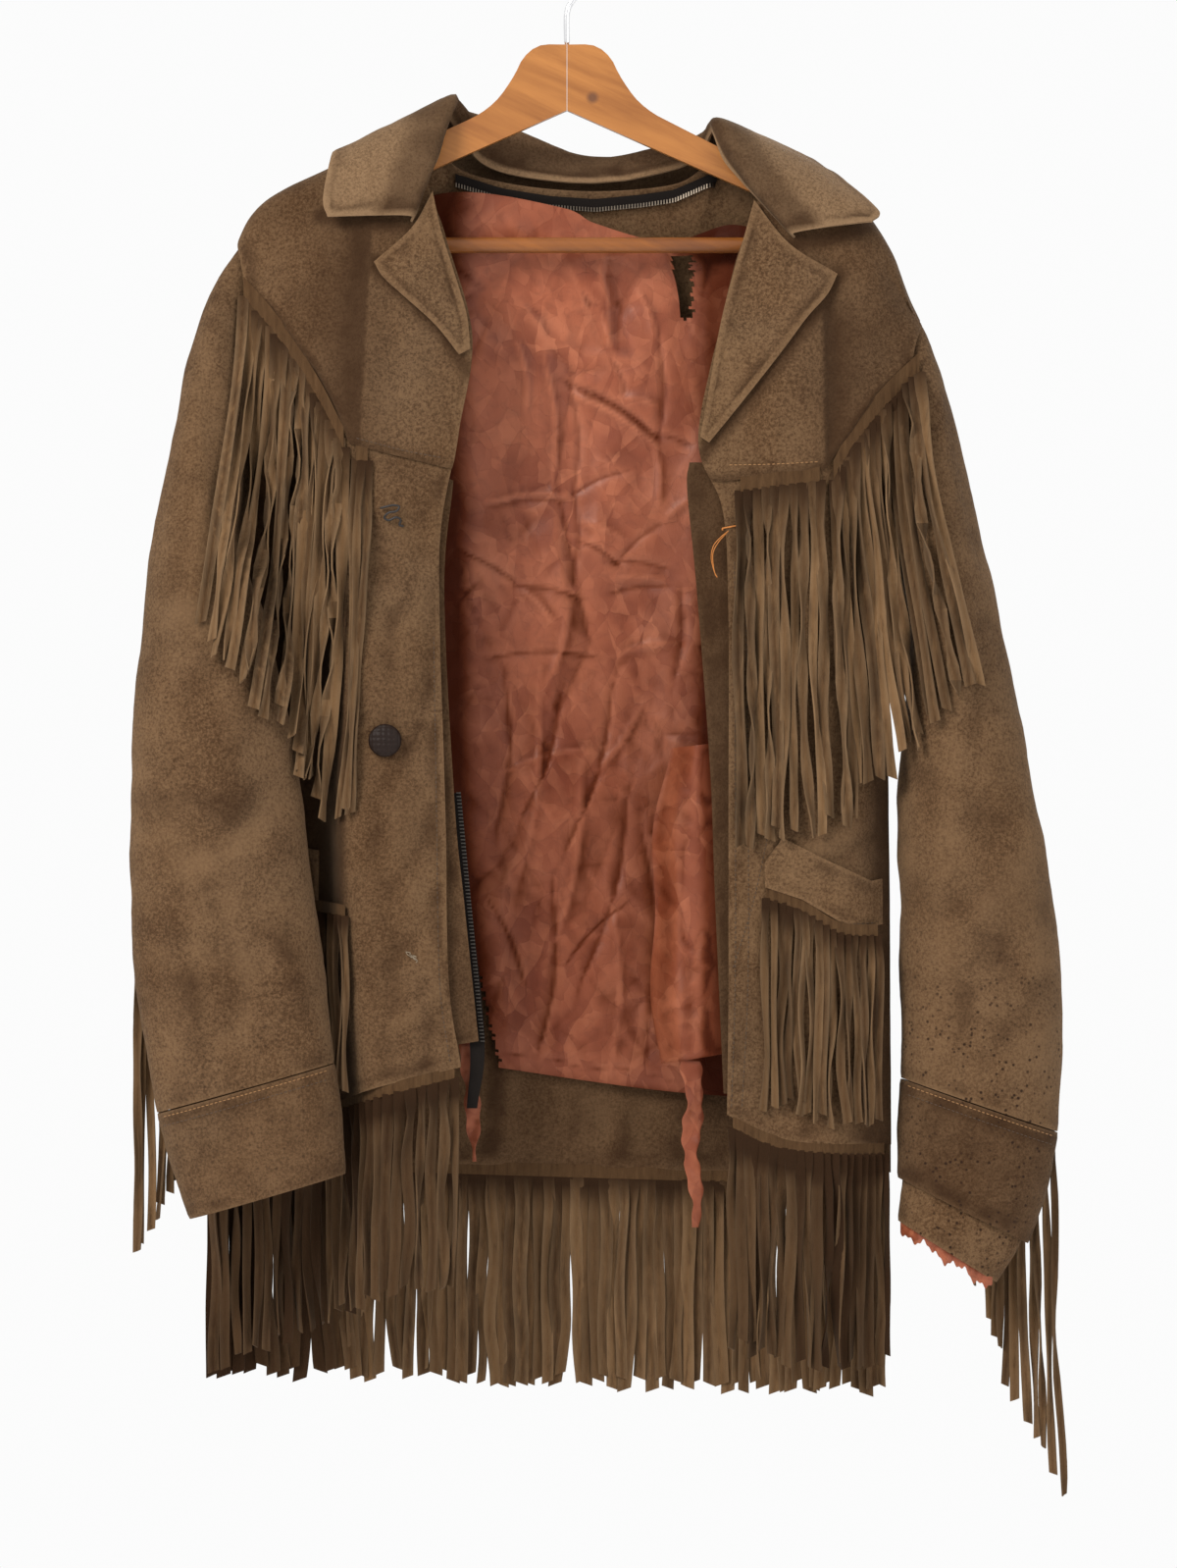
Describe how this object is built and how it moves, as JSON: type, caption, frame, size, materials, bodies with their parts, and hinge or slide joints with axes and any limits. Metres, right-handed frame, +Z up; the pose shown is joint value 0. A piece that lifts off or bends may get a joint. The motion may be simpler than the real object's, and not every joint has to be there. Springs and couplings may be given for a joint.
{
  "type": "fringe jacket on a wooden hanger",
  "caption": "Short open suede jacket with fringed yokes, chest, pockets, sleeves and hem and a torn satin lining, hung on a flat wooden hanger.",
  "frame": {"origin": "inside top of the hanger's hook, where it bears on a rail", "axes": "+Z up, +X towards the wearer's left, -Y out of the jacket's front"},
  "size_m": [0.6262, 0.1366, 1.0479],
  "materials": {
    "suede": "napped suede, worn darker in places",
    "suede_fringe": "cut suede strips",
    "lining": "crinkled satin",
    "wood": "clear-varnished pale wood",
    "chrome": "bright plated wire",
    "zip_tape": "woven tape with metal teeth",
    "button_leather": "woven leather"
  },
  "bodies": {
    "root": {"back": "suede", "back_yoke": "suede", "front_right": "suede", "front_left": "suede", "yoke_right": "suede", "yoke_left": "suede", "collar": "suede", "lapel_right": "suede", "lapel_left": "suede", "facing_right": "suede", "edge_band_left": "suede", "pocket_flap_right": "suede", "pocket_flap_left": "suede", "sleeve_right": "suede", "sleeve_left": "suede", "cuff_right": "suede", "cuff_left": "suede", "cuff_inner_left": "suede", "lining_back": "lining", "lining_flap": "lining", "lining_strip": "lining", "zip_tape_neck": "zip_tape", "zip_tape_front": "zip_tape", "button": "button_leather", "fringe_yoke_right": "suede_fringe", "fringe_yoke_left": "suede_fringe", "fringe_chest_right": "suede_fringe", "fringe_chest_left": "suede_fringe", "fringe_pocket_right": "suede_fringe", "fringe_pocket_left": "suede_fringe", "fringe_hem_right": "suede_fringe", "fringe_hem_left": "suede_fringe", "fringe_hem_back": "suede_fringe", "fringe_back_yoke": "suede_fringe", "fringe_sleeve_right": "suede_fringe", "fringe_sleeve_left": "suede_fringe", "hanger_arm_right": "wood", "hanger_arm_left": "wood", "hanger_bar": "wood", "hanger_hook": "chrome"}
  },
  "joints": []
}
